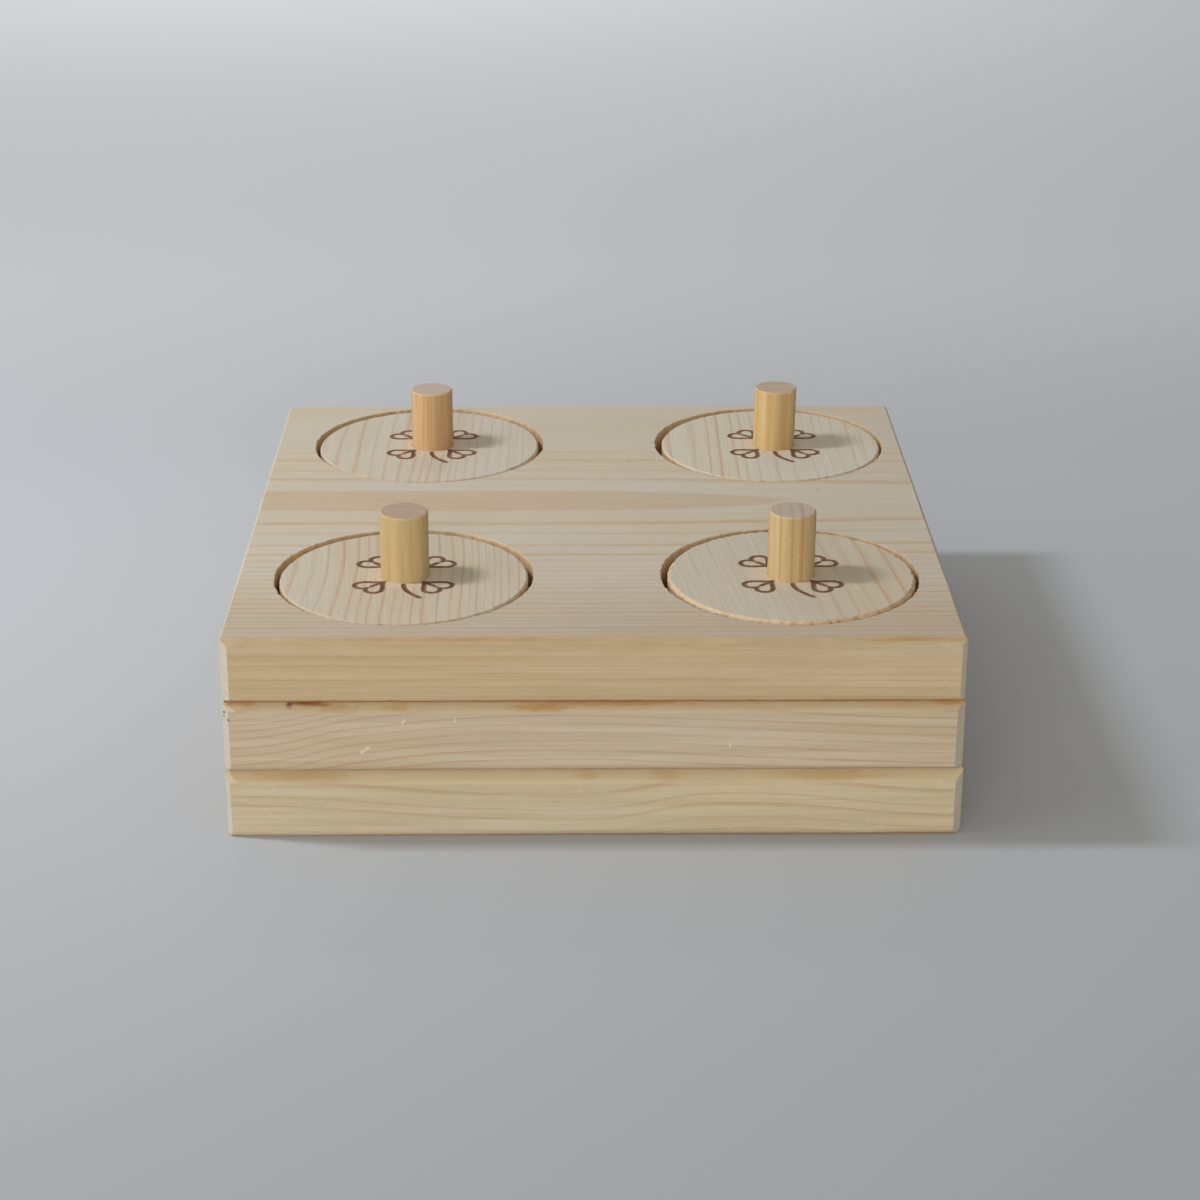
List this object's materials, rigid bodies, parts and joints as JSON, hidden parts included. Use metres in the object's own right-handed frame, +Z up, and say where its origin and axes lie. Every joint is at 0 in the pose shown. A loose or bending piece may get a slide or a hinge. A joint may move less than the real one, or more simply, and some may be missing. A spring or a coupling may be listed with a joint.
{
  "type": "pet puzzle feeder",
  "caption": "Square block of glued pine boards with round treat wells closed by loose lids, each with a dowel peg that a rabbit grips or nudges to get at the food.",
  "frame": {"origin": "middle of the underside of the base board", "axes": "+Z up, the way the lids lift; -Y the front; the boards' grain runs along X"},
  "size_m": [0.2, 0.2, 0.0778],
  "materials": {
    "pine_board": "bare sanded pine",
    "pine_lid": "bare sanded pine with a burned line drawing",
    "dowel": "bare sanded softwood dowel"
  },
  "bodies": {
    "box": {"top_board": "pine_board", "middle_board": "pine_board", "base_board": "pine_board"},
    "front_left_lifter": {"front_left_lid": "pine_lid", "front_left_peg": "dowel"},
    "front_right_lifter": {"front_right_lid": "pine_lid", "front_right_peg": "dowel"},
    "back_left_lifter": {"back_left_lid": "pine_lid", "back_left_peg": "dowel"},
    "back_right_lifter": {"back_right_lid": "pine_lid", "back_right_peg": "dowel"}
  },
  "joints": [
    {"name": "front_left_lift", "type": "slide", "parent": "box", "child": "front_left_lifter", "axis": [0, 0, 1], "range_m": [0, 0.06]},
    {"name": "front_right_lift", "type": "slide", "parent": "box", "child": "front_right_lifter", "axis": [0, 0, 1], "range_m": [0, 0.06]},
    {"name": "back_left_lift", "type": "slide", "parent": "box", "child": "back_left_lifter", "axis": [0, 0, 1], "range_m": [0, 0.06]},
    {"name": "back_right_lift", "type": "slide", "parent": "box", "child": "back_right_lifter", "axis": [0, 0, 1], "range_m": [0, 0.06]}
  ]
}
